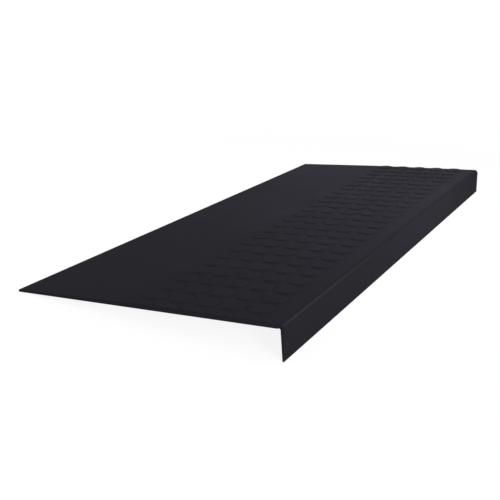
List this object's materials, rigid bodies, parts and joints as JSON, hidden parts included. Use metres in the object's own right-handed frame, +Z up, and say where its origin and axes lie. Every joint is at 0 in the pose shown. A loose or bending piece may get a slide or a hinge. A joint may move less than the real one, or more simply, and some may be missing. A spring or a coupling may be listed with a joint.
{
  "type": "rubber stair tread",
  "caption": "Moulded rubber stair tread with a square nose that drops over the edge of a step and a grid of low round discs for grip.",
  "frame": {"origin": "middle of the bounding box's underside, on the level floor that the tread lies on", "axes": "+X along the length of the tread, -Y towards its nose, +Z up; the tread lies right side up on the tip of its nose and on its back edge, so its top falls towards +Y"},
  "size_m": [0.762, 0.3182, 0.0366],
  "materials": {
    "rubber": "matte"
  },
  "bodies": {
    "root": {"stair_tread": "rubber"}
  },
  "joints": []
}
